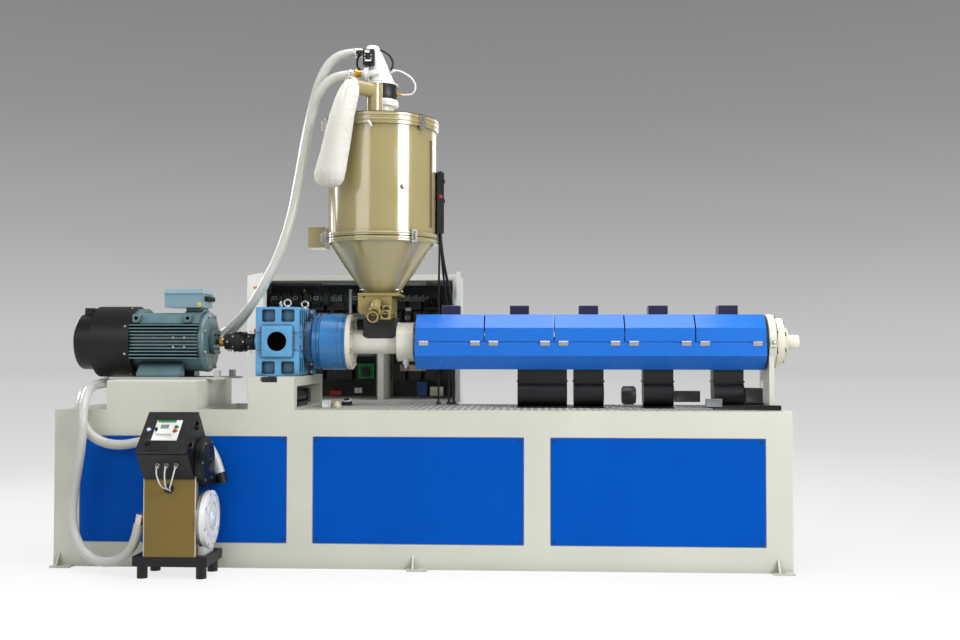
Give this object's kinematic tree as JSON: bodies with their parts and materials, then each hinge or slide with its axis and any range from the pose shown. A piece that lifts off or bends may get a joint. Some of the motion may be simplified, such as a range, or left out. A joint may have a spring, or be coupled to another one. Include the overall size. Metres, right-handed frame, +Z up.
{
  "type": "plastic extruder",
  "caption": "Single-screw plastic extruder line unit: blue and cream machine base, motor and gearbox, covered barrel, hopper with vacuum loader and rear control cabinet.",
  "frame": {"origin": "on the floor under the middle of the machine base", "axes": "+X along the machine line towards the outlet, +Z up, the operator's side towards -Y"},
  "size_m": [3.613, 1.7655, 2.579],
  "materials": {
    "base_cream": "satin",
    "panel_blue": "satin",
    "lid_blue": "gloss",
    "gearbox_blue": "gloss",
    "thrust_blue": "gloss",
    "motor_teal": "satin",
    "black_paint": "satin",
    "deck_grey": "satin",
    "machined_steel": "machined",
    "heater_steel": "satin",
    "bright_steel": "polished",
    "hopper_beige": "gloss",
    "outlet_ochre": "gloss",
    "column_ochre": "satin",
    "box_white": "satin",
    "cabinet_grey": "satin",
    "gear_dark": "matte",
    "black_plastic": "matte",
    "hose_clear": "satin",
    "bag_cloth": "woven"
  },
  "bodies": {
    "machine": {"barrel": "machined_steel", "barrel_support": "base_cream", "base_frame": "base_cream", "cabinet_gear": "gear_dark", "cabinet_shell": "cabinet_grey", "control_box": "black_paint", "cooling_blowers": "black_paint", "cover_hinges": "bright_steel", "cover_lower": "lid_blue", "deck_plate": "deck_grey", "die_adapter": "machined_steel", "discharge_box": "outlet_ochre", "dryer_control_box": "black_paint", "dust_bag": "bag_cloth", "exhaust_elbow": "hopper_beige", "feed_chute": "black_plastic", "feed_flange": "base_cream", "feed_section": "machined_steel", "floor_lugs": "base_cream", "front_panels": "panel_blue", "gearbox_housing": "gearbox_blue", "gearbox_plinth": "base_cream", "heater_bands": "heater_steel", "hopper_clamps": "bright_steel", "hopper_cone": "hopper_beige", "hopper_lid": "hopper_beige", "hopper_shell": "hopper_beige", "hot_air_inlet": "hopper_beige", "loader_base": "black_paint", "loader_column": "column_ochre", "material_hose": "hose_clear", "motor_fan_cowl": "black_paint", "motor_frame": "motor_teal", "motor_plinth": "base_cream", "motor_rails": "deck_grey", "motor_terminal_box": "motor_teal", "oil_pump": "black_paint", "rear_panels": "panel_blue", "receiver_body": "box_white", "receiver_collar": "black_paint", "receiver_valve": "black_plastic", "suction_filter": "black_paint", "suction_nozzle": "machined_steel", "thrust_housing": "thrust_blue", "vacuum_blower": "box_white", "vacuum_hose": "hose_clear"},
    "coupling": {"drive_coupling": "black_paint"},
    "door_left": {"cabinet_door_left": "cabinet_grey"},
    "door_right": {"cabinet_door_right": "cabinet_grey"},
    "control_door": {"control_box_door": "black_paint"},
    "lid_1": {"cover_lid_1": "lid_blue", "vent_1": "black_paint"},
    "lid_2": {"cover_lid_2": "lid_blue", "vent_2": "black_paint"},
    "lid_3": {"cover_lid_3": "lid_blue", "vent_3": "black_paint"},
    "lid_4": {"cover_lid_4": "lid_blue", "vent_4": "black_paint"},
    "lid_5": {"cover_lid_5": "lid_blue", "vent_5": "black_paint"}
  },
  "joints": [
    {"name": "coupling_spin", "type": "hinge", "parent": "machine", "child": "coupling", "pos_m": [-0.945, 0, 1.075], "axis": [1, 0, 0], "continuous": true},
    {"name": "cover_lid_1_hinge", "type": "hinge", "parent": "machine", "child": "lid_1", "pos_m": [0.1308, -0.1425, 1.075], "axis": [1, 0, 0], "range_deg": [0, 100]},
    {"name": "cover_lid_2_hinge", "type": "hinge", "parent": "machine", "child": "lid_2", "pos_m": [0.4744, -0.1425, 1.075], "axis": [1, 0, 0], "range_deg": [0, 100]},
    {"name": "cover_lid_3_hinge", "type": "hinge", "parent": "machine", "child": "lid_3", "pos_m": [0.818, -0.1425, 1.075], "axis": [1, 0, 0], "range_deg": [0, 100]},
    {"name": "cover_lid_4_hinge", "type": "hinge", "parent": "machine", "child": "lid_4", "pos_m": [1.1616, -0.1425, 1.075], "axis": [1, 0, 0], "range_deg": [0, 100]},
    {"name": "cover_lid_5_hinge", "type": "hinge", "parent": "machine", "child": "lid_5", "pos_m": [1.5052, -0.1425, 1.075], "axis": [1, 0, 0], "range_deg": [0, 100]},
    {"name": "cabinet_door_left_hinge", "type": "hinge", "parent": "machine", "child": "door_left", "pos_m": [-1.053, 0.575, 1.1], "axis": [0, 0, 1], "range_deg": [-20, 58]},
    {"name": "cabinet_door_right_hinge", "type": "hinge", "parent": "machine", "child": "door_right", "pos_m": [0.126, 0.575, 1.1], "axis": [0, 0, 1], "range_deg": [-94, 30]},
    {"name": "control_box_door_hinge", "type": "hinge", "parent": "machine", "child": "control_door", "pos_m": [-0.966, -0.75573, 0.57776], "axis": [0, 0.7431, 0.6691], "range_deg": [0, 110]}
  ]
}
